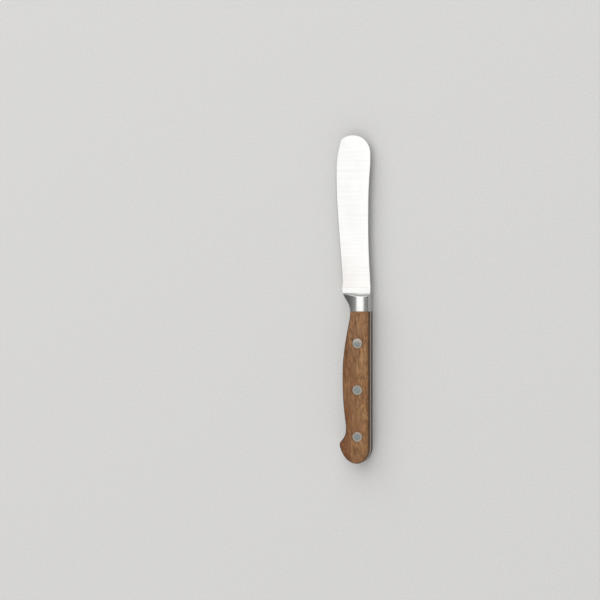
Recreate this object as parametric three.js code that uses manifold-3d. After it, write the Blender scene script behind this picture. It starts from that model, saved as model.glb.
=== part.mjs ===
// Cheese spreader: a full-tang steel blade, two bolster cheeks, two wooden scales and three two-part rivets.
// Millimetres. +Y runs to the tip and +X to the spine. The spreader lies flat on its lower scale, +Z up.
// Plan sizes are measured from the rivet line and from the joint between bolster and wood.

import * as THREE from 'three';
import { ConvexGeometry } from 'three/addons/geometries/ConvexGeometry.js';
import { mergeVertices } from 'three/addons/utils/BufferGeometryUtils.js';
import Module from 'manifold-3d';

const wasm = await Module();
wasm.setup();

// Lengths
const BLADE_REACH = 118.4;
const BOLSTER_LENGTH = 9.8;
const HANDLE_LENGTH = 101.8;

// Thicknesses
const HANDLE_THICKNESS = 15;
const BLANK_THICKNESS = 2.4;
const TIP_THICKNESS = 1.4;
const EDGE_THICKNESS = 0.7;
const PLUNGE_LENGTH = 6;

// The straight back of the handle, which the spine of the blade leaves and meets again
const BACK_OUT = 7.65;
const SPINE_HOLLOW = 1.4;
const SPINE_HOLLOW_FROM_TIP = 57;
const SPINE_FLARE_FROM_TIP = 17;

// The tip, a round end that rolls off the spine and meets the edge in a soft corner
const TIP_RADIUS = 12.5;
const TIP_CORNER_ANGLE = 129;
const EDGE_LEAN_ANGLE = 18.5;

// The edge side, as distances out from the rivet line and places along the spreader
const BLADE_BELLY_OUT = 16.1;
const BLADE_BELLY_FROM_TIP = 26.4;
const HEEL_OUT = 11.6;
const NECK_OUT = 5.15;
const NECK_FROM_JOINT = 1.5;
const GRIP_BELLY_OUT = 10.4;
const GRIP_BELLY_FROM_JOINT = 42;
const WAIST_OUT = 8;
const WAIST_FROM_BUTT = 23.1;
const HOOK_OUT = 12.2;
const HOOK_FROM_BUTT = 12.6;
const BUTT_LOW_OUT = 0.6;
const BACK_ROUNDING = 10.8;

// The faces of the handle: a flat land, a crown that falls away from it to the outline, and rounded edges
const LAND_INSET = 5.5;
const CROWN_RADIUS = 11;
const CROWN_STEEPEST_ANGLE = 33;
const EDGE_ROUNDING = 1.2;

// The hollow sweep from the blade up to the bolster's crest, which runs forward to both sides of its middle
const SWEEP_LENGTH = 6.4;
const SWEEP_LIP = 0.25;
const SWEEP_TOP_ANGLE = 76;
const CREST_MIDDLE_OUT = 0.5;
const CREST_ROUNDING = 2;
const CREST_LEAN_ANGLE = 12.5;

// Rivets
const FIRST_RIVET_FROM_JOINT = 21.4;
const LAST_RIVET_FROM_BUTT = 18;
const RIVET_NAMES = ['front', 'middle', 'rear'];
const HEAD_DIAMETER = 6.9;
const HEAD_THICKNESS = 1.6;
const HEAD_RIM = 0.35;
const BARREL_DIAMETER = 5;
const POST_DIAMETER = 3.4;

// Clearances
const JOINT_GAP = 0.05;
const HOLE_CLEARANCE = 0.05;
const POST_CLEARANCE = 0.05;
const POST_END_CLEARANCE = 0.5;

// How far each curve keeps the direction of its two ends, as shares of its run
const HEEL_TO_HOLLOW = [0.25, 0.6];
const HOLLOW_TO_FLARE = [0.75, 0.2];
const CORNER_TO_BELLY = [0.37, 0.33];
const BELLY_TO_HEEL = [0.31, 0.16];
const HEEL_TO_NECK = [0.45, 0.5];
const NECK_TO_BELLY = [0.12, 0.46];
const BELLY_TO_WAIST = [0.7, 0.17];
const WAIST_TO_HOOK = [0.65, 0.25];
const HOOK_TO_BUTT = [0.2, 0.75];

// Facets
const CURVE_STEPS = 14;
const EDGE_STEPS = 3;
const CROWN_STEPS = 4;
const LAND_STEPS = 4;
const BOLSTER_STEPS = 4;
const SWEEP_STEPS = 7;
const ROUND_STEPS = 32;

// Share of a tight corner's radius for the crown, how fast it widens again, and the share of it for the edge
const CROWN_OF_RADIUS = 0.65;
const CROWN_GROWTH = 0.5;
const EDGE_OF_CROWN = 0.6;

// How far a cutting solid runs past what it cuts, and the distance under which two points are one
const CUT_MARGIN = 5;
const SAME_POINT = 0.001;

// Places worked out from the sizes above
const halfHandle = HANDLE_THICKNESS / 2;
const halfBlank = BLANK_THICKNESS / 2;
const heelY = BOLSTER_LENGTH + SWEEP_LENGTH;
const landEdgeX = LAND_INSET - NECK_OUT;
const landBackX = BACK_OUT - LAND_INSET;
const crownFall = Math.tan(THREE.MathUtils.degToRad(CROWN_STEEPEST_ANGLE));
const crownBend = crownFall * CROWN_RADIUS;
const buttY = -HANDLE_LENGTH;
const bladeBellyY = BLADE_REACH - BLADE_BELLY_FROM_TIP;
const firstRivetY = -FIRST_RIVET_FROM_JOINT;
const lastRivetY = buttY + LAST_RIVET_FROM_BUTT;
const rivetPitch = (lastRivetY - firstRivetY) / (RIVET_NAMES.length - 1);
const rivetPlaces = RIVET_NAMES.map((name, index) => firstRivetY + index * rivetPitch);
const seatLevel = halfHandle - HEAD_THICKNESS;
const gripReach = Math.max(BACK_OUT, HEEL_OUT, GRIP_BELLY_OUT, HOOK_OUT) + CUT_MARGIN;
const barrelHole = BARREL_DIAMETER / 2 + HOLE_CLEARANCE;
const headHole = HEAD_DIAMETER / 2 + HOLE_CLEARANCE;

// Materials
const steel = { color: 0xe6e4e1, roughness: 0.24, metalness: 1 };
const brushedSteel = { color: 0xcfcdca, roughness: 0.34, metalness: 1 };
const rivetSteel = { color: 0xa9aaa8, roughness: 0.42, metalness: 1 };
const acacia = { color: 0x8b6645, roughness: 0.62, metalness: 0 };

// Adds a curve that leaves its start and reaches its end running along the spreader
function flowTo(path, x, y, [leave, arrive]) {
  const start = path.currentPoint.clone();
  const run = y - start.y;
  path.bezierCurveTo(start.x, start.y + leave * run, x, y - arrive * run, x, y);
}

// Spine, tip and edge, from the heel at the back to the heel at the edge
function addBladeCurves(path) {
  const tipCentre = new THREE.Vector2(BACK_OUT - TIP_RADIUS, BLADE_REACH - TIP_RADIUS);
  const cornerAngle = THREE.MathUtils.degToRad(TIP_CORNER_ANGLE);
  const lean = THREE.MathUtils.degToRad(EDGE_LEAN_ANGLE);
  flowTo(path, BACK_OUT - SPINE_HOLLOW, BLADE_REACH - SPINE_HOLLOW_FROM_TIP, HEEL_TO_HOLLOW);
  flowTo(path, BACK_OUT, BLADE_REACH - SPINE_FLARE_FROM_TIP, HOLLOW_TO_FLARE);
  path.lineTo(BACK_OUT, tipCentre.y);
  path.absarc(tipCentre.x, tipCentre.y, TIP_RADIUS, 0, cornerAngle, false);
  const corner = path.currentPoint.clone();
  const run = corner.y - bladeBellyY;
  const [leave, arrive] = CORNER_TO_BELLY;
  path.bezierCurveTo(
    corner.x - leave * run * Math.tan(lean), corner.y - leave * run,
    -BLADE_BELLY_OUT, bladeBellyY + arrive * run,
    -BLADE_BELLY_OUT, bladeBellyY,
  );
  flowTo(path, -HEEL_OUT, heelY, BELLY_TO_HEEL);
}

// Finger guard, neck, belly, waist, hook, butt and back, from the heel at the edge to the heel at the back
function addGripCurves(path) {
  const hookY = buttY + HOOK_FROM_BUTT;
  flowTo(path, -NECK_OUT, -NECK_FROM_JOINT, HEEL_TO_NECK);
  flowTo(path, -GRIP_BELLY_OUT, -GRIP_BELLY_FROM_JOINT, NECK_TO_BELLY);
  flowTo(path, -WAIST_OUT, buttY + WAIST_FROM_BUTT, BELLY_TO_WAIST);
  flowTo(path, -HOOK_OUT, hookY, WAIST_TO_HOOK);
  const [leave, arrive] = HOOK_TO_BUTT;
  path.bezierCurveTo(
    -HOOK_OUT, hookY - leave * HOOK_FROM_BUTT,
    -BUTT_LOW_OUT - arrive * (HOOK_OUT - BUTT_LOW_OUT), buttY,
    -BUTT_LOW_OUT, buttY,
  );
  const backWidth = BACK_OUT + BUTT_LOW_OUT;
  path.absellipse(-BUTT_LOW_OUT, buttY + BACK_ROUNDING, backWidth, BACK_ROUNDING, 1.5 * Math.PI, 2 * Math.PI);
  path.lineTo(BACK_OUT, heelY);
}

// The corners of an outline, each once, though one curve may end where the next begins
function outlinePoints(startX, curveSets) {
  const path = new THREE.Path();
  path.moveTo(startX, heelY);
  for (const addCurves of curveSets) addCurves(path);
  const points = path.getPoints(CURVE_STEPS);
  return points.filter((point, index) => point.distanceTo(points.at(index - 1)) > SAME_POINT);
}

// A geometry with only its shared corners, which the cutting and joining need
function weld(geometry) {
  const bare = geometry.clone();
  bare.deleteAttribute('normal');
  bare.deleteAttribute('uv');
  return mergeVertices(bare);
}

function toSolid(geometry) {
  const welded = weld(geometry);
  const vertProperties = Float32Array.from(welded.attributes.position.array);
  const triVerts = Uint32Array.from(welded.index.array);
  return new wasm.Manifold(new wasm.Mesh({ numProp: 3, vertProperties, triVerts }));
}

function toGeometry(solid) {
  const { vertProperties, triVerts } = solid.getMesh();
  const geometry = new THREE.BufferGeometry();
  geometry.setAttribute('position', new THREE.BufferAttribute(vertProperties, 3));
  geometry.setIndex(new THREE.BufferAttribute(triVerts, 1));
  return geometry;
}

// The same piece for the lower side of the blade
function mirrorDown(geometry) {
  const mirrored = geometry.clone().scale(1, 1, -1);
  const index = mirrored.index.array;
  for (let corner = 0; corner < index.length; corner += 3) {
    [index[corner + 1], index[corner + 2]] = [index[corner + 2], index[corner + 1]];
  }
  return mirrored;
}

// A solid of revolution about a rivet's line, from a profile of radius and height
function turned(profile, y) {
  const points = profile.map(([radius, height]) => new THREE.Vector2(radius, height));
  return new THREE.LatheGeometry(points, ROUND_STEPS).rotateX(Math.PI / 2).translate(0, y, 0);
}

// Half of the ground blade's thickness, which thins from the back of the heel to the tip and to the edge
function groundLevel(x, y) {
  const alongSlope = (TIP_THICKNESS - BLANK_THICKNESS) / 2 / (BLADE_REACH - heelY);
  const bellyLevel = halfBlank + alongSlope * (bladeBellyY - heelY);
  const acrossSlope = (bellyLevel - EDGE_THICKNESS / 2) / (BACK_OUT + BLADE_BELLY_OUT);
  return halfBlank + acrossSlope * (x - BACK_OUT) + alongSlope * (y - heelY);
}

// What grinding takes off the blade's upper face, with a sloped end at the heel
function grindingCut() {
  const outer = -BLADE_BELLY_OUT - CUT_MARGIN;
  const inner = BACK_OUT + CUT_MARGIN;
  const rear = heelY + PLUNGE_LENGTH;
  const front = BLADE_REACH + CUT_MARGIN;
  const overrun = (CUT_MARGIN * PLUNGE_LENGTH) / (halfBlank - groundLevel(outer, rear));
  const points = [];
  for (const x of [outer, inner]) {
    points.push(new THREE.Vector3(x, rear, groundLevel(x, rear)));
    points.push(new THREE.Vector3(x, front, groundLevel(x, front)));
    points.push(new THREE.Vector3(x, heelY - overrun, halfBlank + CUT_MARGIN));
    points.push(new THREE.Vector3(x, front, halfBlank + CUT_MARGIN));
  }
  return new ConvexGeometry(points);
}

// Blade, neck and full tang in one piece, with a hole for each rivet
function bladeGeometry() {
  const outline = new THREE.Shape(outlinePoints(BACK_OUT, [addBladeCurves, addGripCurves]));
  const plate = new THREE.ExtrudeGeometry(outline, { depth: BLANK_THICKNESS, bevelEnabled: false });
  plate.translate(0, 0, -halfBlank);
  const cut = weld(grindingCut());
  let solid = toSolid(plate).subtract(toSolid(cut)).subtract(toSolid(mirrorDown(cut)));
  for (const y of rivetPlaces) {
    const hole = turned([
      [0, -BLANK_THICKNESS],
      [barrelHole, -BLANK_THICKNESS],
      [barrelHole, BLANK_THICKNESS],
      [0, BLANK_THICKNESS],
    ], y);
    solid = solid.subtract(toSolid(hole));
  }
  return toGeometry(solid);
}

// The inward direction at each point of the grip's outline
function inwardDirections(points) {
  return points.map((point, index) => {
    const before = points[Math.max(index - 1, 0)];
    const after = points[Math.min(index + 1, points.length - 1)];
    const along = after.clone().sub(before).normalize();
    return new THREE.Vector2(-along.y, along.x);
  });
}

// The crown's width at each point, narrowed where the outline turns tightly outward
function crownWidths(points) {
  const radii = points.map((point, index) => {
    if (index === 0 || index === points.length - 1) return Infinity;
    const into = point.clone().sub(points[index - 1]);
    const out = points[index + 1].clone().sub(point);
    const turn = Math.atan2(into.cross(out), into.dot(out));
    const step = (into.length() + out.length()) / 2;
    return turn > 0 ? step / turn : Infinity;
  });
  return points.map((point) => {
    const limits = radii.map((radius, index) => (
      CROWN_OF_RADIUS * radius + CROWN_GROWTH * point.distanceTo(points[index])
    ));
    return Math.min(LAND_INSET, ...limits);
  });
}

// How far a face has fallen, and how steeply it falls, at a distance out from its land
function crownDrop(distance) {
  return crownFall * (Math.hypot(distance, crownBend) - crownBend);
}

function crownAngle(distance) {
  return Math.atan((crownFall * distance) / Math.hypot(distance, crownBend));
}

// Steps over the rounded edge and the crown to the land, each as its inset from the outline and its drop
function faceSteps(width) {
  const rounding = Math.min(EDGE_ROUNDING, EDGE_OF_CROWN * width);
  const startAngle = crownAngle(width - rounding);
  const crownWidth = width - rounding * (1 - Math.sin(startAngle));
  const centreDrop = crownDrop(crownWidth) + rounding * Math.cos(startAngle);
  const steps = [];
  for (let step = EDGE_STEPS; step > 0; step -= 1) {
    const angle = THREE.MathUtils.lerp(startAngle, Math.PI / 2, step / EDGE_STEPS);
    steps.push({ inset: rounding * (1 - Math.sin(angle)), drop: centreDrop - rounding * Math.cos(angle) });
  }
  for (let step = CROWN_STEPS; step >= 0; step -= 1) {
    const distance = (step / CROWN_STEPS) * crownWidth;
    steps.push({ inset: width - distance, drop: crownDrop(distance) });
  }
  return steps;
}

// Triangles that close a level end of any outline
function closeOutline(ring) {
  return THREE.ShapeUtils.triangulateShape(ring.map((point) => new THREE.Vector2(point.x, point.y)), []);
}

// Triangles that close an upright end which bulges outward all round
function closeFan(ring) {
  return ring.slice(2).map((_, index) => [0, index + 1, index + 2]);
}

// A closed body through rings of the same number of points, with flat ends
function loftRings(rings, closeEnd) {
  const count = rings[0].length;
  const positions = rings.flat().flatMap((point) => [point.x, point.y, point.z]);
  const index = [];
  for (let ring = 0; ring < rings.length - 1; ring += 1) {
    for (let here = 0; here < count; here += 1) {
      const next = (here + 1) % count;
      const low = ring * count;
      const high = low + count;
      index.push(low + here, low + next, high + next);
      index.push(low + here, high + next, high + here);
    }
  }
  const top = (rings.length - 1) * count;
  for (const [a, b, c] of closeEnd(rings[0])) index.push(c, b, a);
  for (const [a, b, c] of closeEnd(rings.at(-1))) index.push(top + a, top + b, top + c);
  const geometry = new THREE.BufferGeometry();
  geometry.setAttribute('position', new THREE.Float32BufferAttribute(positions, 3));
  geometry.setIndex(index);
  return geometry;
}

// The upper side of the grip as one contoured body, from the heel to the butt
function upperGrip() {
  const points = outlinePoints(-HEEL_OUT, [addGripCurves]);
  const inward = inwardDirections(points);
  const faces = crownWidths(points).map(faceSteps);
  const rings = [points.map((point) => new THREE.Vector3(point.x, point.y, halfBlank))];
  for (let step = 0; step <= EDGE_STEPS + CROWN_STEPS; step += 1) {
    rings.push(points.map((point, index) => {
      const { inset, drop } = faces[index][step];
      const place = point.clone().addScaledVector(inward[index], inset);
      return new THREE.Vector3(place.x, place.y, halfHandle - drop);
    }));
  }
  return toSolid(loftRings(rings, closeOutline));
}

// Wooden scale: the grip behind the joint, with a stepped hole for each rivet
function scaleGeometry(grip) {
  const length = HANDLE_LENGTH + CUT_MARGIN - JOINT_GAP;
  const block = new THREE.BoxGeometry(2 * gripReach, length, 2 * HANDLE_THICKNESS);
  block.translate(0, -JOINT_GAP - length / 2, 0);
  let solid = grip.intersect(toSolid(block));
  for (const y of rivetPlaces) {
    const hole = turned([
      [0, 0],
      [barrelHole, 0],
      [barrelHole, seatLevel],
      [headHole, seatLevel],
      [headHole, HANDLE_THICKNESS],
      [0, HANDLE_THICKNESS],
    ], y);
    solid = solid.subtract(toSolid(hole));
  }
  return toGeometry(solid);
}

// Where the edge of the guard stands at a place along the spreader
function guardEdgeX(points, y) {
  const after = Math.max(1, points.findIndex((point) => point.y <= y));
  const [high, low] = [points[after - 1], points[after]];
  return THREE.MathUtils.mapLinear(y, low.y, high.y, low.x, high.x);
}

// The face of the bolster at a place along the spreader: points from the guard over the land to the back
function faceSection(points, y) {
  const edgeX = guardEdgeX(points, y);
  const section = faceSteps(landEdgeX - edgeX).map(({ inset, drop }) => (
    new THREE.Vector3(edgeX + inset, y, halfHandle - drop)
  ));
  for (let step = 1; step < LAND_STEPS; step += 1) {
    const x = THREE.MathUtils.lerp(landEdgeX, landBackX, step / LAND_STEPS);
    section.push(new THREE.Vector3(x, y, halfHandle));
  }
  for (const { inset, drop } of faceSteps(LAND_INSET).reverse()) {
    section.push(new THREE.Vector3(BACK_OUT - inset, y, halfHandle - drop));
  }
  return section;
}

// How far ahead of the joint the crest lies at a place across the bolster
function crestY(x) {
  const lean = Math.tan(THREE.MathUtils.degToRad(CREST_LEAN_ANGLE));
  return BOLSTER_LENGTH + lean * (Math.hypot(x - CREST_MIDDLE_OUT, CREST_ROUNDING) - CREST_ROUNDING);
}

// Bolster cheek: sections of the face from the joint to the crest, then down the hollow sweep to the blade
function bolsterGeometry() {
  const points = outlinePoints(-HEEL_OUT, [addGripCurves]);
  const lipLevel = halfBlank + SWEEP_LIP;
  const topAngle = THREE.MathUtils.degToRad(SWEEP_TOP_ANGLE);
  const crests = faceSection(points, BOLSTER_LENGTH).map((point) => crestY(point.x));
  const rowAt = (place, height) => crests.map((crest, column) => {
    const point = faceSection(points, place(crest))[column];
    point.z = THREE.MathUtils.lerp(lipLevel, point.z, height);
    return point;
  });
  const rows = [];
  for (let step = 0; step < BOLSTER_STEPS; step += 1) {
    rows.push(rowAt((crest) => (step / BOLSTER_STEPS) * crest, 1));
  }
  for (let step = SWEEP_STEPS; step >= 0; step -= 1) {
    const angle = (step / SWEEP_STEPS) * topAngle;
    const run = Math.sin(angle) / Math.sin(topAngle);
    const height = (1 - Math.cos(angle)) / (1 - Math.cos(topAngle));
    rows.push(rowAt((crest) => heelY - run * (heelY - crest), height));
  }
  const rings = rows.map((row) => {
    const [first, last] = [row[0].clone().setZ(halfBlank), row.at(-1).clone().setZ(halfBlank)];
    return [first, ...row, last];
  });
  return loftRings(rings, closeFan);
}

// Rivet half with a blind barrel, from the lower side
function socketGeometry(y) {
  const head = HEAD_DIAMETER / 2;
  const bore = POST_DIAMETER / 2 + POST_CLEARANCE;
  const barrelTop = seatLevel - POST_END_CLEARANCE;
  return turned([
    [0, -halfHandle],
    [head - HEAD_RIM, -halfHandle],
    [head, -halfHandle + HEAD_RIM],
    [head, -seatLevel],
    [BARREL_DIAMETER / 2, -seatLevel],
    [BARREL_DIAMETER / 2, barrelTop],
    [bore, barrelTop],
    [bore, -seatLevel],
    [0, -seatLevel],
  ], y);
}

// Rivet half with a solid post, pressed into the barrel from the upper side
function postGeometry(y) {
  const head = HEAD_DIAMETER / 2;
  const postEnd = -seatLevel + POST_END_CLEARANCE;
  return turned([
    [0, postEnd],
    [POST_DIAMETER / 2, postEnd],
    [POST_DIAMETER / 2, seatLevel],
    [head, seatLevel],
    [head, halfHandle - HEAD_RIM],
    [head - HEAD_RIM, halfHandle],
    [0, halfHandle],
  ], y);
}

// The spreader, stood on the middle of the floor under it
const spreader = new THREE.Group();

function addPiece(name, geometry, look) {
  geometry.computeVertexNormals();
  const mesh = new THREE.Mesh(geometry, new THREE.MeshStandardMaterial({ ...look, flatShading: true }));
  mesh.name = name;
  spreader.add(mesh);
}

const scale = scaleGeometry(upperGrip());
const bolster = bolsterGeometry();

addPiece('blade_with_tang', bladeGeometry(), steel);
addPiece('bolster_cheek_upper', bolster, brushedSteel);
addPiece('bolster_cheek_lower', mirrorDown(bolster), brushedSteel);
addPiece('scale_upper', scale, acacia);
addPiece('scale_lower', mirrorDown(scale), acacia);
rivetPlaces.forEach((y, index) => {
  addPiece(`rivet_post_${RIVET_NAMES[index]}`, weld(postGeometry(y)), rivetSteel);
  addPiece(`rivet_socket_${RIVET_NAMES[index]}`, weld(socketGeometry(y)), rivetSteel);
});

const box = new THREE.Box3().setFromObject(spreader, true);
const middle = box.getCenter(new THREE.Vector3());
spreader.position.set(-middle.x, -middle.y, -box.min.z);

export default spreader;
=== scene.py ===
# Looks of a cheese spreader: steel blade with a full tang, bolster cheeks, wooden scales, two-part rivets.
# Metres. +Y runs to the tip, +X to the spine, and the spreader lies on its lower scale on the floor at Z = 0.

import math

import bmesh
import bpy
import numpy as np
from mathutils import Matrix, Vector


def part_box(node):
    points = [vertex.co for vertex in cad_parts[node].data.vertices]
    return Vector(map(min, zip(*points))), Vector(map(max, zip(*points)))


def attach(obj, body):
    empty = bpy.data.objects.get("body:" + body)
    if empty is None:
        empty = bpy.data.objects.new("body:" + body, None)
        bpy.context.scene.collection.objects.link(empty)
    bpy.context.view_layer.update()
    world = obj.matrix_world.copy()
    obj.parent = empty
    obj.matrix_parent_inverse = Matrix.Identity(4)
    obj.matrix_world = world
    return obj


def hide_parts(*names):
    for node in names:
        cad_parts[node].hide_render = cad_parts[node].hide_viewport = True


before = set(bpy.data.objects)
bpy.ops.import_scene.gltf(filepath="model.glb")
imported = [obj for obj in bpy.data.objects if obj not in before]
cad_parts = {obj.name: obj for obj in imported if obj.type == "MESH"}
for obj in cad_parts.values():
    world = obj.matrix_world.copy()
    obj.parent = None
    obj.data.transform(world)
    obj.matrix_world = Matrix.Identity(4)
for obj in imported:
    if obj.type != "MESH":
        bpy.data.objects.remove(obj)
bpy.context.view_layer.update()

MM = 0.001
BODY = "root"
RIVETS = ("front", "middle", "rear")

# Places read from the frame
blade_low, blade_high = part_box("blade_with_tang")
cheek_low, cheek_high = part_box("bolster_cheek_upper")
scale_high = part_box("scale_upper")[1]
MIDDLE = (blade_low.z + blade_high.z) / 2
HALF_BLANK = (blade_high.z - blade_low.z) / 2
HALF_HANDLE = scale_high.z - MIDDLE
JOINT_Y = cheek_low.y
HEEL_Y = cheek_high.y
BACK_X = cheek_high.x
SCALE_FRONT_Y = scale_high.y
rivet_boxes = [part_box(f"rivet_post_{name}") for name in RIVETS]
RIVET_X = (rivet_boxes[0][0].x + rivet_boxes[0][1].x) / 2
HEAD_RADIUS = (rivet_boxes[0][1].x - rivet_boxes[0][0].x) / 2
rivet_places = [(RIVET_X, (low.y + high.y) / 2, MIDDLE) for low, high in rivet_boxes]

# Blade
PLUNGE_LENGTH = 6 * MM
SPINE_ROUNDING = 0.3 * MM
SEAM_ROUNDING = 0.05 * MM
ROUNDING_RUN = 4 * MM

# Faces of the handle: a flat land, a crown that falls away from it to the outline, and rounded edges
LAND_INSET = 5.5 * MM
CROWN_RADIUS = 11 * MM
CROWN_FALL = math.tan(math.radians(33))
CROWN_BEND = CROWN_FALL * CROWN_RADIUS
CROWN_OF_RADIUS = 0.65
CROWN_GROWTH = 0.5
EDGE_ROUNDING = 1.2 * MM
EDGE_OF_CROWN = 0.6
NECK_OUT = 5.15 * MM
NECK_FROM_JOINT = 1.5 * MM
NECK_Y = JOINT_Y - NECK_FROM_JOINT
LAND_EDGE_X = RIVET_X - NECK_OUT + LAND_INSET
LAND_BACK_X = BACK_X - LAND_INSET

# Hollow sweep from the blade up to the bolster's crest, which leans forward on both sides of CREST_X
BOLSTER_LENGTH = 10.05 * MM
SWEEP_LIP = 0.05 * MM
SWEEP_POWER = 2.5
CREST_X = RIVET_X + 2.5 * MM
CREST_ROUNDING = 2 * MM
CREST_LEAN = math.tan(math.radians(9.5))
CREST_RADIUS = 0.5 * MM

# Rivets
HEAD_THICKNESS = 1.6 * MM
HEAD_RIM = 0.3 * MM
HEAD_CROWN = 0.12 * MM
BARREL_RADIUS = 2.5 * MM
POST_RADIUS = 1.7 * MM
POST_CLEARANCE = 0.05 * MM
POST_END_CLEARANCE = 0.5 * MM
HOLE_CLEARANCE = 0.09 * MM
HOLE_CHAMFER = 0.12 * MM

# Mesh steps
OUTLINE_STEP = 0.45 * MM
LONGEST_CURVED_STEP = 8 * MM
STRAIGHT_STEP = 4 * MM
EDGE_STEPS = 6
CROWN_STEPS = 12
ROUNDING_STEPS = 5
LAND_STEPS = 8
CREST_NEAR = 0.8 * MM
CROWN_ROWS = 14
CREST_ROWS = 40
SWEEP_ROWS = 36
ROLL_STEPS = 20
ROUND_STEPS = 72
PLUNGE_CUTS = 13
HEAD_FACE_STEPS = 5
OVERRUN = 2 * MM
SAME_POINT = 0.002 * MM
NEAR_CUT = 0.01 * MM
LEAST_TURN = 1e-9
SHARP_ANGLE = math.radians(32)

# How far up a normal points, at most on a wall and at least on an upward face
WALL_RISE = 0.1
FACE_RISE = 0.5


# Outline

def outline_of(node):
    """The plan outline of the blank, counterclockwise, read off the rim of the node's upper face."""
    mesh = bmesh.new()
    mesh.from_mesh(node.data)
    bmesh.ops.remove_doubles(mesh, verts=mesh.verts, dist=SAME_POINT)
    mesh.normal_update()
    rim = {edge for edge in mesh.edges if is_rim(edge)}
    corner = max((vertex for edge in rim for vertex in edge.verts), key=lambda vertex: vertex.co.y)
    edge = next(edge for edge in corner.link_edges if edge in rim)
    points = []
    while edge:
        rim.discard(edge)
        points.append((corner.co.x, corner.co.y))
        corner = edge.other_vert(corner)
        edge = next((edge for edge in corner.link_edges if edge in rim), None)
    mesh.free()
    points = np.array(points)
    return points if signed_area(points) > 0 else points[::-1]


def is_rim(edge):
    """Whether an edge lies between an upward face and a wall."""
    if len(edge.link_faces) != 2:
        return False
    low, high = sorted(face.normal.z for face in edge.link_faces)
    return abs(low) < WALL_RISE and high > FACE_RISE


def signed_area(points):
    after = np.roll(points, -1, axis=0)
    return float(np.sum(points[:, 0] * after[:, 1] - points[:, 1] * after[:, 0])) / 2


def split_straights(points):
    """The same outline with its long straight sides cut into short steps."""
    split = []
    for start, end in zip(points, np.roll(points, -1, axis=0)):
        length = math.dist(start, end)
        count = math.ceil(length / STRAIGHT_STEP) if length > LONGEST_CURVED_STEP else 1
        split += [start + (end - start) * step / count for step in range(count)]
    return np.array(split)


def crown_widths(points):
    """The crown's width at each point, narrowed where the outline turns tightly outward."""
    into = points - np.roll(points, 1, axis=0)
    out = np.roll(points, -1, axis=0) - points
    turn = np.arctan2(into[:, 0] * out[:, 1] - into[:, 1] * out[:, 0], np.sum(into * out, axis=1))
    step = (np.hypot(*into.T) + np.hypot(*out.T)) / 2
    radius = np.where(turn > 0, step / np.maximum(turn, LEAST_TURN), np.inf)
    apart = np.hypot(*(points[:, None] - points[None]).transpose(2, 0, 1))
    limit = np.min(CROWN_OF_RADIUS * radius[None] + CROWN_GROWTH * apart, axis=1)
    return np.minimum(LAND_INSET, limit)


def smooth_loop(rows):
    """Rows of x, y and width along a closed curve through the given rows, a small step apart."""
    before, after, beyond = (np.roll(rows, shift, axis=0) for shift in (1, -1, -2))
    dense = []
    for a, b, c, d in zip(before, rows, after, beyond):
        run_in, run, run_out = (math.dist(p[:2], q[:2]) for p, q in ((a, b), (b, c), (c, d)))
        leave = ((b - a) / run_in - (c - a) / (run_in + run)) * run + c - b
        arrive = ((d - c) / run_out - (d - b) / (run + run_out)) * run + c - b
        for t in np.arange(0, 1, 1 / math.ceil(run / OUTLINE_STEP)):
            held = (2 * t - 3) * t * t
            dense.append((1 + held) * b - held * c + t * (1 - t) ** 2 * leave - t * t * (1 - t) * arrive)
    return np.array(dense)


def inward_directions(points):
    along = np.roll(points, -1, axis=0) - np.roll(points, 1, axis=0)
    return np.column_stack([-along[:, 1], along[:, 0]]) / np.hypot(*along.T)[:, None]


def crown_drop(distance):
    """How far a face has fallen at a distance out from its land."""
    return CROWN_FALL * (np.hypot(distance, CROWN_BEND) - CROWN_BEND)


def crown_angle(distance):
    """How steeply a face falls there."""
    return np.arctan(CROWN_FALL * distance / np.hypot(distance, CROWN_BEND))


def face_steps(widths):
    """Insets from the outline and drops of the steps over the rounded edge and the crown to the land."""
    rounding = np.minimum(EDGE_ROUNDING, EDGE_OF_CROWN * widths)
    start = crown_angle(widths - rounding)
    crown = widths - rounding * (1 - np.sin(start))
    centre = crown_drop(crown) + rounding * np.cos(start)
    steps = []
    for share in np.linspace(1, 0, EDGE_STEPS, endpoint=False):
        angle = start + share * (math.pi / 2 - start)
        steps.append((rounding * (1 - np.sin(angle)), centre - rounding * np.cos(angle)))
    for share in np.linspace(1, 0, CROWN_STEPS + 1):
        steps.append((widths - share * crown, crown_drop(share * crown)))
    return steps


cad_outline = split_straights(outline_of(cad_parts["blade_with_tang"]))
outline_rows = smooth_loop(np.column_stack([cad_outline, crown_widths(cad_outline)]))
outline = outline_rows[:, :2]
outline_inward = inward_directions(outline)
on_guard = (outline[:, 0] < LAND_EDGE_X) & (outline[:, 1] > NECK_Y) & (outline[:, 1] < HEEL_Y + OVERRUN)
guard_line = outline[on_guard][np.argsort(outline[on_guard, 1])]


# Meshes

def loft(rings):
    """A closed body through rings of the same number of points, with a face across each end ring."""
    mesh = bmesh.new()
    loops = [[mesh.verts.new(point) for point in ring] for ring in rings]
    for low, high in zip(loops, loops[1:]):
        for here in range(len(low)):
            after = (here + 1) % len(low)
            mesh.faces.new((low[here], low[after], high[after], high[here]))
    mesh.faces.new(loops[0])
    mesh.faces.new(loops[-1])
    bmesh.ops.recalc_face_normals(mesh, faces=mesh.faces)
    return mesh


def turned(profile):
    """Rings about the Z axis through a profile of radius and height."""
    angles = np.linspace(0, 2 * math.pi, ROUND_STEPS, endpoint=False)
    return [[(r * math.cos(a), r * math.sin(a), z) for a in angles] for r, z in profile]


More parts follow.
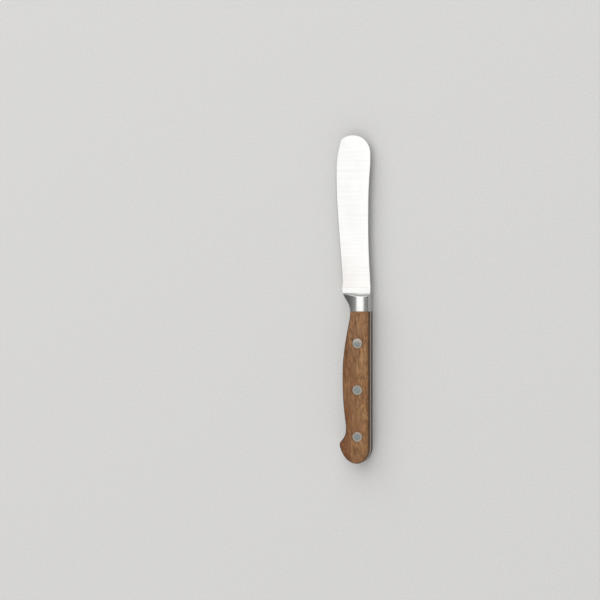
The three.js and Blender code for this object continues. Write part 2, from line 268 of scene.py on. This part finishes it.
def cut_off(mesh, y, side):
    """Takes off what lies beyond y on the given side, +1 or -1, and closes the cut with one face."""
    everything = mesh.verts[:] + mesh.edges[:] + mesh.faces[:]
    cut = bmesh.ops.bisect_plane(
        mesh, geom=everything, plane_co=(0, y, 0), plane_no=(0, side, 0), clear_outer=True)
    edges = [item for item in cut["geom_cut"] if isinstance(item, bmesh.types.BMEdge)]
    bmesh.ops.edgeloop_fill(mesh, edges=edges)
    bmesh.ops.recalc_face_normals(mesh, faces=mesh.faces)


def mirrored_down(mesh):
    """The same piece for the lower side of the blade."""
    for vertex in mesh.verts:
        vertex.co.z = 2 * MIDDLE - vertex.co.z
    bmesh.ops.reverse_faces(mesh, faces=mesh.faces)


def to_object(name, mesh):
    data = bpy.data.meshes.new(name)
    mesh.to_mesh(data)
    mesh.free()
    piece = bpy.data.objects.new(name, data)
    bpy.context.scene.collection.objects.link(piece)
    return piece


def drill(piece, profile, places):
    """Cuts a turned hole at each place into the piece's mesh."""
    cutters = []
    for index, place in enumerate(places):
        cutter = to_object(f"{piece.name}_hole_{index}", loft(turned(profile)))
        cutter.location = place
        modifier = piece.modifiers.new(cutter.name, "BOOLEAN")
        modifier.operation = "DIFFERENCE"
        modifier.solver = "EXACT"
        modifier.object = cutter
        cutters.append(cutter)
    bpy.context.view_layer.update()
    whole = piece.evaluated_get(bpy.context.evaluated_depsgraph_get())
    drilled = bpy.data.meshes.new_from_object(whole)
    piece.modifiers.clear()
    piece.data = drilled
    for cutter in cutters:
        bpy.data.objects.remove(cutter)


def finish_piece(piece, node, material):
    """Smooths a piece's shading, paints it and sets it on the frame in the place of its node."""
    piece.data.materials.clear()
    piece.data.materials.append(material)
    piece.data.shade_smooth()
    piece.data.set_sharp_from_angle(angle=SHARP_ANGLE)
    weighted = piece.modifiers.new("flat_faces_stay_flat", "WEIGHTED_NORMAL")
    weighted.keep_sharp = True
    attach(piece, BODY)
    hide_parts(node)


# Materials: waves are counts to the metre along X, Y and Z, and colours are linear

# Where most of a noise lies
NOISE_RANGE = (0.3, 0.7)

# Steel of blade and bolster: grinding lines, broad clouds and narrow streaks
LINE_STRETCH = 90
LINE_DEPTH = 0.02 * MM
CLOUD_WAVES = (70, 45, 70)
STREAK_WAVES = (25, 900, 25)
# Painted warm grey reflection on the blade, toward its heel and most on the side of its edge
HEEL_REFLECTION_LENGTH = 34 * MM
HEEL_REFLECTION_AT_BACK = 0.25
HEEL_REFLECTION_TINT = (0.90, 0.86, 0.83, 1)

# Steel of the rivets: a grey face, a painted warm reflection on the rim, and a painted highlight on the part
# of the front head toward the blade
GRIT_WAVES = (1100, 1100, 1100)
GRIT_RANGE = (0.35, 0.65)
FACE_DARK = (0.236, 0.254, 0.256)
FACE_BRIGHT = (0.277, 0.294, 0.295)
FACE_ROUGH = 0.68
FACE_SMOOTH = 0.58
RIM_FROM = 1.8 * MM
RIM_TO = 3 * MM
# Painted warm reflection on the rim of each head
RIM_REFLECTION_COLOUR = (0.420, 0.355, 0.285, 1)
# Painted highlight on the front head, toward the blade
HIGHLIGHT_FROM = 0.1 * MM
HIGHLIGHT_TO = 2.2 * MM
HIGHLIGHT_SHARE = 0.9
HIGHLIGHT_COLOUR = (0.520, 0.460, 0.405, 1)
SCRATCH_WAVES = (2600, 160, 400)
SCRATCH_RELIEF = 0.15

# Wood: a wandering grain that all its streaks follow
GRAIN_SHIFT = (0.0, 46 * MM, 0.0)
GRAIN_LEAN = (0.03, 0.0, math.radians(-4))
WANDER_WAVES = (130, 48, 130)
WANDER_MIDDLE = (0.5, 0.5, 0.5)
WANDER_REACH = (10 * MM, 0.0, 10 * MM)
FIGURE_WAVES = (190, 38, 190)
MOTTLE_WAVES = (620, 105, 620)
GRAIN_WAVES = (1700, 130, 1700)
PORE_WAVES = (2900, 250, 2900)
PATCH_WAVES = (75, 42, 75)

# Tones of the wood, each as stops of a value and a colour
FIGURE_TONES = (
    (0.30, (0.170, 0.075, 0.031)),
    (0.45, (0.232, 0.110, 0.048)),
    (0.58, (0.272, 0.140, 0.066)),
    (0.72, (0.330, 0.182, 0.092)),
)
MOTTLE_TONES = ((0.33, (0.71, 0.68, 0.65)), (0.66, (1.19, 1.20, 1.22)))
GRAIN_TONES = ((0.33, (0.60, 0.57, 0.53)), (0.62, (1.15, 1.16, 1.17)))
# Painted shade where the wood's faces turn to the side, by how far up their normals point
SIDE_SHADE_TONES = (
    (0.40, (0.36, 0.33, 0.30)),
    (0.80, (0.62, 0.59, 0.56)),
    (0.93, (0.88, 0.86, 0.84)),
    (0.975, (1.0, 1.0, 1.0)),
)
PALE_WOOD = (0.366, 0.197, 0.086, 1)
REAR_TINT = (0.97, 0.95, 0.86, 1)
HOOK_WOOD = (0.205, 0.072, 0.022, 1)
RED_WOOD = (0.265, 0.103, 0.042, 1)
PORE_WOOD = (0.070, 0.029, 0.012, 1)

# Amounts on the wood, each from one value to another and the amount at both
TO_BACK = (-3 * MM, 10 * MM, 0.0, 0.8)
TO_REAR = (-15 * MM, -55 * MM, 0.0, 1.0)
TO_HOOK = (6 * MM, -6 * MM, 0.0, 1.0)
TO_BUTT = (-35 * MM, -100 * MM, 0.0, 0.85)
RED_PATCH = (0.52, 0.68, 0.0, 0.45)
PORE_STAIN = (0.59, 0.69, 0.0, 0.7)
PORE_HEIGHT = (0.56, 0.70, 1.0, 0.0)
GRAIN_IN_RELIEF = 0.35
WOOD_RELIEF = 0.35
WOOD_DEPTH = 0.06 * MM
WOOD_ROUGH = 0.66
WOOD_SMOOTH = 0.52
WOOD_SPECULAR = 0.3


def new_material(name):
    material = bpy.data.materials.new(name)
    material.use_nodes = True
    return material, material.node_tree, material.node_tree.nodes["Principled BSDF"]


def add_node(tree, kind, inputs=None, **settings):
    """Adds a node. Each input is linked to a socket or set to a value."""
    node = tree.nodes.new(kind)
    for key, value in settings.items():
        setattr(node, key, value)
    for key, value in (inputs or {}).items():
        if isinstance(value, bpy.types.NodeSocket):
            tree.links.new(value, node.inputs[key])
        else:
            node.inputs[key].default_value = value
    return node


def coordinates(tree):
    return add_node(tree, "ShaderNodeTexCoord").outputs


def axes_of(tree, vector):
    return add_node(tree, "ShaderNodeSeparateXYZ", {0: vector}).outputs


def product(tree, a, b):
    return add_node(tree, "ShaderNodeMath", {0: a, 1: b}, operation="MULTIPLY").outputs[0]


def vectors(tree, operation, a, b):
    return add_node(tree, "ShaderNodeVectorMath", {0: a, 1: b}, operation=operation).outputs[0]


def noise(tree, place, waves, detail=2.0, roughness=0.5, output="Fac"):
    """Noise at a place, with so many waves to the metre along each axis."""
    made = add_node(tree, "ShaderNodeTexNoise", {
        "Vector": vectors(tree, "MULTIPLY", place, waves),
        "Scale": 1.0,
        "Detail": detail,
        "Roughness": roughness,
    })
    return made.outputs[output]


def ramp(tree, factor, stops):
    """A colour ramp through stops of place and colour."""
    node = add_node(tree, "ShaderNodeValToRGB", {"Fac": factor})
    elements = node.color_ramp.elements
    while len(elements) < len(stops):
        elements.new(1.0)
    for element, (place, colour) in zip(elements, stops):
        element.position = place
        element.color = (*colour, 1.0)
    return node.outputs["Color"]


def spread(tree, value, low, high, to_low, to_high):
    """Maps a value from one range to another."""
    node = add_node(tree, "ShaderNodeMapRange", {
        "Value": value,
        "From Min": low,
        "From Max": high,
        "To Min": to_low,
        "To Max": to_high,
    })
    return node.outputs["Result"]


def mix(tree, blend, factor, a, b):
    """Mixes two colours."""
    node = add_node(tree, "ShaderNodeMix", {0: factor, 6: a, 7: b}, data_type="RGBA", blend_type=blend)
    return node.outputs[2]


def bump(tree, height, strength, depth):
    node = add_node(tree, "ShaderNodeBump", {"Height": height, "Strength": strength, "Distance": depth})
    return node.outputs["Normal"]


def brushed_steel(name, dark, bright, smooth, rough, lines, relief):
    """Steel with grinding lines across the spreader, so many lines to the metre along it."""
    material, tree, shader = new_material(name)
    place = coordinates(tree)["Object"]
    fine = noise(tree, place, (lines / LINE_STRETCH, lines, lines / LINE_STRETCH), detail=3.0)
    cloud = noise(tree, place, CLOUD_WAVES, detail=3.0)
    streak = noise(tree, place, STREAK_WAVES)
    tone = mix(tree, "MIX", 0.5, streak, cloud)
    tree.links.new(ramp(tree, tone, list(zip(NOISE_RANGE, (dark, bright)))), shader.inputs["Base Color"])
    tree.links.new(spread(tree, tone, *NOISE_RANGE, rough, smooth), shader.inputs["Roughness"])
    tree.links.new(bump(tree, fine, relief, LINE_DEPTH), shader.inputs["Normal"])
    shader.inputs["Metallic"].default_value = 1.0
    return material


def paint_heel_reflection(material):
    """Paints a warm grey reflection on the blade toward its heel, most on the side of its edge."""
    tree = material.node_tree
    shaded = tree.nodes["Principled BSDF"].inputs["Base Color"]
    axes = axes_of(tree, coordinates(tree)["Object"])
    near = spread(tree, axes["Y"], HEEL_Y + HEEL_REFLECTION_LENGTH, HEEL_Y, 0.0, 1.0)
    aside = spread(tree, axes["X"], BACK_X, -BACK_X, HEEL_REFLECTION_AT_BACK, 1.0)
    bright = shaded.links[0].from_socket
    tree.links.new(mix(tree, "MULTIPLY", product(tree, near, aside), bright, HEEL_REFLECTION_TINT), shaded)


def rivet_steel():
    """Satin face with a painted warm reflection on its rim, and a painted highlight on the front head toward
    the blade.
    """
    material, tree, shader = new_material("rivet_steel")
    flat = vectors(tree, "MULTIPLY", coordinates(tree)["Object"], (1, 1, 0))
    out = add_node(tree, "ShaderNodeVectorMath", {0: flat}, operation="LENGTH").outputs["Value"]
    place = add_node(tree, "ShaderNodeNewGeometry").outputs["Position"]
    scratches = noise(tree, place, SCRATCH_WAVES, detail=3.0)
    grit = noise(tree, place, GRIT_WAVES, detail=3.0)
    face = ramp(tree, grit, list(zip(GRIT_RANGE, (FACE_DARK, FACE_BRIGHT))))
    # Painted warm reflection on the rim of each head
    rim_reflected = mix(tree, "MIX", spread(tree, out, RIM_FROM, RIM_TO, 0.0, 1.0), face, RIM_REFLECTION_COLOUR)
    along = axes_of(tree, place)["Y"]
    front_y = rivet_places[0][1]
    # Painted highlight on the front head, brighter toward the blade
    painted_highlight = spread(tree, along, front_y + HIGHLIGHT_FROM, front_y + HIGHLIGHT_TO, 0.0, HIGHLIGHT_SHARE)
    tree.links.new(mix(tree, "MIX", painted_highlight, rim_reflected, HIGHLIGHT_COLOUR), shader.inputs["Base Color"])
    tree.links.new(spread(tree, grit, *GRIT_RANGE, FACE_ROUGH, FACE_SMOOTH), shader.inputs["Roughness"])
    tree.links.new(bump(tree, scratches, SCRATCH_RELIEF, LINE_DEPTH), shader.inputs["Normal"])
    shader.inputs["Metallic"].default_value = 1.0
    return material


def wood_streaks(tree, place):
    """Figure, mottle, fine grain and pores, which all follow one wandering grain along the handle."""
    lean = {"Vector": place, "Location": GRAIN_SHIFT, "Rotation": GRAIN_LEAN}
    leaning = add_node(tree, "ShaderNodeMapping", lean).outputs[0]
    wander = noise(tree, leaning, WANDER_WAVES, detail=3.0, output="Color")
    aside = vectors(tree, "MULTIPLY", vectors(tree, "SUBTRACT", wander, WANDER_MIDDLE), WANDER_REACH)
    bent = vectors(tree, "ADD", leaning, aside)
    figure = noise(tree, bent, FIGURE_WAVES, detail=3.0)
    mottle = noise(tree, bent, MOTTLE_WAVES, detail=3.0)
    grain = noise(tree, bent, GRAIN_WAVES, detail=4.0, roughness=0.6)
    pores = noise(tree, bent, PORE_WAVES, roughness=0.6)
    return figure, mottle, grain, pores


def wood_tone(tree, place, figure):
    """The figure's colour, paler to the back, deeper to the rear, redder to the hook and in patches."""
    axes = axes_of(tree, place)
    tone = mix(tree, "MIX", spread(tree, axes["X"], *TO_BACK), ramp(tree, figure, FIGURE_TONES), PALE_WOOD)
    tone = mix(tree, "MULTIPLY", spread(tree, axes["Y"], *TO_REAR), tone, REAR_TINT)
    hook = product(tree, spread(tree, axes["X"], *TO_HOOK), spread(tree, axes["Y"], *TO_BUTT))
    tone = mix(tree, "MIX", hook, tone, HOOK_WOOD)
    patch = noise(tree, place, PATCH_WAVES)
    return mix(tree, "MIX", spread(tree, patch, *RED_PATCH), tone, RED_WOOD)


def acacia():
    """Oiled open-pored wood with its grain along the handle, with painted shade where its faces turn to the
    side.
    """
    material, tree, shader = new_material("acacia")
    places = coordinates(tree)
    figure, mottle, grain, pores = wood_streaks(tree, places["Object"])
    colour = wood_tone(tree, places["Object"], figure)
    colour = mix(tree, "MULTIPLY", 1.0, colour, ramp(tree, mottle, MOTTLE_TONES))
    colour = mix(tree, "MULTIPLY", 1.0, colour, ramp(tree, grain, GRAIN_TONES))
    colour = mix(tree, "MIX", spread(tree, pores, *PORE_STAIN), colour, PORE_WOOD)
    upright = axes_of(tree, places["Normal"])["Z"]
    facing = add_node(tree, "ShaderNodeMath", {0: upright}, operation="ABSOLUTE").outputs[0]
    # Painted shade on faces that turn to the side
    colour = mix(tree, "MULTIPLY", 1.0, colour, ramp(tree, facing, SIDE_SHADE_TONES))
    tree.links.new(colour, shader.inputs["Base Color"])
    tree.links.new(spread(tree, grain, *NOISE_RANGE, WOOD_ROUGH, WOOD_SMOOTH), shader.inputs["Roughness"])
    height = mix(tree, "MULTIPLY", GRAIN_IN_RELIEF, spread(tree, pores, *PORE_HEIGHT), grain)
    tree.links.new(bump(tree, height, WOOD_RELIEF, WOOD_DEPTH), shader.inputs["Normal"])
    shader.inputs["Specular IOR Level"].default_value = WOOD_SPECULAR
    return material


blade_material = brushed_steel(
    "blade_steel",
    dark=(0.544, 0.544, 0.539),
    bright=(0.573, 0.569, 0.561),
    smooth=0.2,
    rough=0.25,
    lines=5200,
    relief=0.1,
)
# Painted warm grey reflection toward the heel
paint_heel_reflection(blade_material)
bolster_material = brushed_steel(
    "bolster_steel",
    dark=(0.49, 0.49, 0.48),
    bright=(0.58, 0.575, 0.56),
    smooth=0.2,
    rough=0.3,
    lines=4200,
    relief=0.2,
)
rivet_material = rivet_steel()
wood_material = acacia()


# Pieces

def smoothstep(t):
    t = np.clip(t, 0.0, 1.0)
    return t * t * (3 - 2 * t)


def ground_plane():
    """The slopes and the height of the plane that the blade's upper face is ground to ahead of the plunge."""
    corners = np.array([vertex.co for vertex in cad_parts["blade_with_tang"].data.vertices])
    upper = corners[(corners[:, 1] > HEEL_Y + PLUNGE_LENGTH) & (corners[:, 2] > MIDDLE)]
    terms = np.column_stack([upper[:, :2], np.ones(len(upper))])
    return np.linalg.lstsq(terms, upper[:, 2] - MIDDLE, rcond=None)[0]


def make_blade():
    """Blade, neck and full tang: the outline with rounded edges, thinned to the ground faces."""
    ahead = smoothstep((outline[:, 1] - HEEL_Y) / ROUNDING_RUN)
    rounding = SEAM_ROUNDING + (SPINE_ROUNDING - SEAM_ROUNDING) * ahead
    rings = []
    for side in (-1, 1):
        angles = np.linspace(0, math.pi / 2, ROUNDING_STEPS + 1)
        for angle in angles[::-1] if side < 0 else angles:
            inset = rounding * (1 - math.cos(angle))
            level = HALF_BLANK - rounding * (1 - math.sin(angle))
            places = outline + outline_inward * inset[:, None]
            rings.append(np.column_stack([places, MIDDLE + side * level]))
    mesh = loft(rings)
    for y in np.linspace(HEEL_Y, HEEL_Y + PLUNGE_LENGTH, PLUNGE_CUTS):
        everything = mesh.verts[:] + mesh.edges[:] + mesh.faces[:]
        bmesh.ops.bisect_plane(mesh, geom=everything, dist=NEAR_CUT, plane_co=(0, y, 0), plane_no=(0, 1, 0))
    across, along, height = ground_plane()
    for vertex in mesh.verts:
        ground = min(HALF_BLANK, across * vertex.co.x + along * vertex.co.y + height)
        share = float(smoothstep((vertex.co.y - HEEL_Y) / PLUNGE_LENGTH))
        thinned = 1 + share * (ground / HALF_BLANK - 1)
        vertex.co.z = MIDDLE + (vertex.co.z - MIDDLE) * thinned
    piece = to_object("blade", mesh)
    hole = BARREL_RADIUS + HOLE_CLEARANCE
    drill(piece, ((hole, -2 * HALF_BLANK), (hole, 2 * HALF_BLANK)), rivet_places)
    finish_piece(piece, "blade_with_tang", blade_material)


def make_scale(name, node, side):
    """Wooden scale: rings in from the outline over the crown to the land, with stepped rivet holes."""
    behind = outline[:, 1] < JOINT_Y + OVERRUN
    start = int(np.flatnonzero(behind & ~np.roll(behind, 1))[0])
    turn = np.roll(np.arange(len(outline)), -start)
    chain = turn[behind[turn]]
    rings = [np.column_stack([outline[chain], np.full(len(chain), MIDDLE + HALF_BLANK)])]
    for inset, drop in face_steps(outline_rows[chain, 2]):
        places = outline[chain] + outline_inward[chain] * inset[:, None]
        rings.append(np.column_stack([places, MIDDLE + HALF_HANDLE - drop]))
    mesh = loft(rings)
    cut_off(mesh, SCALE_FRONT_Y, 1)
    if side < 0:
        mirrored_down(mesh)
    piece = to_object(name, mesh)
    barrel = BARREL_RADIUS + HOLE_CLEARANCE
    head = HEAD_RADIUS + HOLE_CLEARANCE
    seat = HALF_HANDLE - HEAD_THICKNESS
    drill(piece, (
        (barrel, 0.0),
        (barrel, side * seat),
        (head, side * seat),
        (head, side * (HALF_HANDLE - HOLE_CHAMFER)),
        (head + 2 * HOLE_CHAMFER, side * (HALF_HANDLE + HOLE_CHAMFER)),
    ), rivet_places)
    finish_piece(piece, node, wood_material)


def guard_column(step):
    """Place across, level and level with a square edge, of a step over the guard, for places along it."""
    def column(ys):
        edge = np.interp(ys, guard_line[:, 1], guard_line[:, 0])
        width = LAND_EDGE_X - edge
        inset, drop = face_steps(width)[step]
        return edge + inset, HALF_HANDLE - drop, HALF_HANDLE - crown_drop(width - inset)
    return column


def straight_column(x, drop, square_drop):
    """The same for a column that runs straight along the spreader."""
    def column(ys):
        along = np.ones(len(ys))
        return x * along, (HALF_HANDLE - drop) * along, (HALF_HANDLE - square_drop) * along
    return column


def face_columns():
    """Columns over the bolster's face, from the guard over the land to the back."""
    back_steps = face_steps(LAND_INSET)
    columns = [guard_column(step) for step in range(len(back_steps))]
    for x in np.linspace(LAND_EDGE_X, LAND_BACK_X, LAND_STEPS + 1)[1:-1]:
        columns.append(straight_column(x, 0.0, 0.0))
    for inset, drop in back_steps[::-1]:
        columns.append(straight_column(BACK_X - inset, drop, crown_drop(LAND_INSET - inset)))
    return columns


def rolled(ys, levels, radius):
    """A profile with its outward corners rounded, as a ball rolled along under it would touch them."""
    reaches = np.linspace(-radius, radius, ROLL_STEPS + 1)
    rises = np.sqrt(radius ** 2 - reaches ** 2)
    ball = list(zip(reaches, rises))
    centres = np.min([np.interp(ys + reach, ys, levels) - rise for reach, rise in ball], axis=0)
    return np.max([np.interp(ys + reach, ys, centres) + rise for reach, rise in ball], axis=0)


def swept_column(column):
    """Points along one column of the bolster, from the joint over the crest, down the sweep to the heel."""
    crest = JOINT_Y + BOLSTER_LENGTH
    aside = math.hypot(column(np.array([crest]))[0][0] - CREST_X, CREST_ROUNDING) - CREST_ROUNDING
    crest += CREST_LEAN * aside
    ys = np.concatenate([
        np.linspace(JOINT_Y, crest - CREST_NEAR, CROWN_ROWS, endpoint=False),
        np.linspace(crest - CREST_NEAR, crest + CREST_NEAR, CREST_ROWS, endpoint=False),
        np.linspace(crest + CREST_NEAR, HEEL_Y, SWEEP_ROWS),
    ])
    xs, levels, square_levels = column(ys)
    run = np.minimum((HEEL_Y - ys) / (HEEL_Y - crest), 1.0)
    height = 1 - (1 - run ** SWEEP_POWER) ** (1 / SWEEP_POWER)
    lip = HALF_BLANK + SWEEP_LIP
    swept = np.minimum(levels, lip + (square_levels - lip) * height)
    return np.column_stack([xs, ys, MIDDLE + rolled(ys, swept, CREST_RADIUS)])


def make_cheek(name, node, side):
    """Bolster cheek: the crown from the joint to the crest, and the hollow sweep down to the blade."""
    columns = [swept_column(column) for column in face_columns()]
    seat = [columns[end] * (1, 1, 0) + (0, 0, MIDDLE + HALF_BLANK) for end in (0, -1)]
    mesh = loft(np.stack([seat[0], *columns, seat[1]], axis=1))
    if side < 0:
        mirrored_down(mesh)
    piece = to_object(name, mesh)
    finish_piece(piece, node, bolster_material)


def head_profile(level):
    """A rivet head from its seat, over its rounded rim, to its slightly crowned face."""
    profile = [(HEAD_RADIUS, level - HEAD_THICKNESS)]
    for step in range(ROUNDING_STEPS + 1):
        angle = step / ROUNDING_STEPS * math.pi / 2
        radius = HEAD_RADIUS - HEAD_RIM * (1 - math.cos(angle))
        profile.append((radius, level - HEAD_CROWN - HEAD_RIM * (1 - math.sin(angle))))
    face = HEAD_RADIUS - HEAD_RIM
    for step in range(HEAD_FACE_STEPS - 1, 0, -1):
        share = step / HEAD_FACE_STEPS
        profile.append((face * share, level - HEAD_CROWN * share ** 2))
    return profile


def make_rivet(name, place):
    """Both halves of a rivet: a post from the upper side, pressed into a barrel from the lower side."""
    seat = HALF_HANDLE - HEAD_THICKNESS
    bore = POST_RADIUS + POST_CLEARANCE
    end = POST_END_CLEARANCE - seat
    head = head_profile(HALF_HANDLE)
    post = [(POST_RADIUS, end), (POST_RADIUS, seat)] + head
    socket = [(bore, seat), (bore, end), (BARREL_RADIUS, end), (BARREL_RADIUS, seat)] + head
    socket = [(radius, -level) for radius, level in socket]
    for half, profile in (("post", post), ("socket", socket)):
        piece = to_object(f"rivet_{half}_{name}_head", loft(turned(profile)))
        piece.location = place
        finish_piece(piece, f"rivet_{half}_{name}", rivet_material)


make_blade()
for side_name, side in (("upper", 1), ("lower", -1)):
    make_cheek(f"bolster_{side_name}", f"bolster_cheek_{side_name}", side)
    make_scale(f"wood_{side_name}", f"scale_{side_name}", side)
for rivet_name, rivet_place in zip(RIVETS, rivet_places):
    make_rivet(rivet_name, rivet_place)


# Floor, light and camera

FLOOR_HALF = 20.0
FLOOR_WAVES = (700, 700, 700)
FLOOR_DARK = (0.66, 0.655, 0.64)
FLOOR_PALE = (0.70, 0.695, 0.68)
FLOOR_ROUGHNESS = 0.9
FLOOR_SPECULAR = 0.1

# Softboxes: one overhead, between two angles from the spreader, and one from there down to a low edge ahead
LIGHT_HEIGHT = 4.2
LIGHT_REAR_Y = -3.2
LIGHT_JOINT_Y = 1.35
OVERHEAD_LEFT = math.radians(20.5)
OVERHEAD_RIGHT = math.radians(8.5)
OVERHEAD_RADIANCE = 1.56
FRONT_END = (7.5, 0.78)
FRONT_LEFT_X = -5.5
FRONT_RIGHT_X = 1.8
FRONT_RADIANCE = 1.38

# Room: levels by the direction's X, brighter behind the spreader and level along the horizon
ROOM_LEVELS = ((-0.9, 0.12), (-0.5, 0.42), (-0.2, 0.46), (0.25, 0.34), (1.0, 0.26))
BEHIND_LEVEL = 0.92
BEHIND_FROM = 0.3
BEHIND_TO = 0.65
HORIZON_LEVEL = 0.6
HORIZON_FROM = math.sin(math.radians(4))
HORIZON_TO = math.sin(math.radians(10))

# Camera
VIEW_TILT = math.radians(15)
VIEW_DISTANCE = 959.7 * MM
VIEW_AIM = (-37.2 * MM, -0.7 * MM, MIDDLE)
LENS = 84.73
SENSOR = 36.0


def make_floor():
    corners = [(-FLOOR_HALF, -FLOOR_HALF, 0), (FLOOR_HALF, -FLOOR_HALF, 0),
               (FLOOR_HALF, FLOOR_HALF, 0), (-FLOOR_HALF, FLOOR_HALF, 0)]
    mesh = bmesh.new()
    mesh.faces.new([mesh.verts.new(corner) for corner in corners])
    floor = to_object("floor", mesh)
    material, tree, shader = new_material("pale_floor")
    grain = noise(tree, coordinates(tree)["Object"], FLOOR_WAVES)
    pale = ramp(tree, grain, list(zip(NOISE_RANGE, (FLOOR_DARK, FLOOR_PALE))))
    tree.links.new(pale, shader.inputs["Base Color"])
    shader.inputs["Roughness"].default_value = FLOOR_ROUGHNESS
    shader.inputs["Specular IOR Level"].default_value = FLOOR_SPECULAR
    floor.data.materials.append(material)


def add_softbox(name, xs, rear, front, radiance):
    """An even light area between two places across, from its rear to its front edge, each a y and a z."""
    along = np.subtract(front, rear)
    data = bpy.data.lights.new(name, "AREA")
    data.shape = "RECTANGLE"
    data.size = xs[1] - xs[0]
    data.size_y = math.hypot(*along)
    data.energy = radiance * math.pi * data.size * data.size_y
    softbox = bpy.data.objects.new(name, data)
    softbox.location = (sum(xs) / 2, *(np.add(rear, front) / 2))
    softbox.rotation_euler = (math.atan2(along[1], along[0]), 0, 0)
    bpy.context.scene.collection.objects.link(softbox)


def make_light():
    """A softbox overhead, one from there down toward the horizon ahead, and the room round them."""
    overhead = (-LIGHT_HEIGHT * math.tan(OVERHEAD_LEFT), LIGHT_HEIGHT * math.tan(OVERHEAD_RIGHT))
    joint = (LIGHT_JOINT_Y, LIGHT_HEIGHT)
    add_softbox("softbox_overhead", overhead, (LIGHT_REAR_Y, LIGHT_HEIGHT), joint, OVERHEAD_RADIANCE)
    add_softbox("softbox_front", (FRONT_LEFT_X, FRONT_RIGHT_X), joint, FRONT_END, FRONT_RADIANCE)
    world = bpy.data.worlds.new("room")
    world.use_nodes = True
    tree = world.node_tree
    axes = axes_of(tree, coordinates(tree)["Generated"])
    across = spread(tree, axes["X"], -1.0, 1.0, 0.0, 1.0)
    room = ramp(tree, across, [((x + 1) / 2, (level, level, level)) for x, level in ROOM_LEVELS])
    behind = spread(tree, axes["Y"], -BEHIND_FROM, -BEHIND_TO, 0.0, 1.0)
    room = mix(tree, "MIX", behind, room, (BEHIND_LEVEL, BEHIND_LEVEL, BEHIND_LEVEL, 1))
    low = spread(tree, axes["Z"], HORIZON_FROM, HORIZON_TO, 1.0, 0.0)
    room = mix(tree, "MIX", low, room, (HORIZON_LEVEL, HORIZON_LEVEL, HORIZON_LEVEL, 1))
    tree.links.new(room, tree.nodes["Background"].inputs["Color"])
    bpy.context.scene.world = world


def make_camera():
    data = bpy.data.cameras.new("camera")
    data.sensor_width = SENSOR
    data.lens = LENS
    camera = bpy.data.objects.new("camera", data)
    aim_x, aim_y, aim_z = VIEW_AIM
    camera.location = (
        aim_x + VIEW_DISTANCE * math.sin(VIEW_TILT), aim_y, aim_z + VIEW_DISTANCE * math.cos(VIEW_TILT))
    camera.rotation_euler = (0, VIEW_TILT, 0)
    bpy.context.scene.collection.objects.link(camera)
    bpy.context.scene.camera = camera


make_floor()
make_light()
make_camera()
bpy.context.scene.view_settings.view_transform = "Standard"
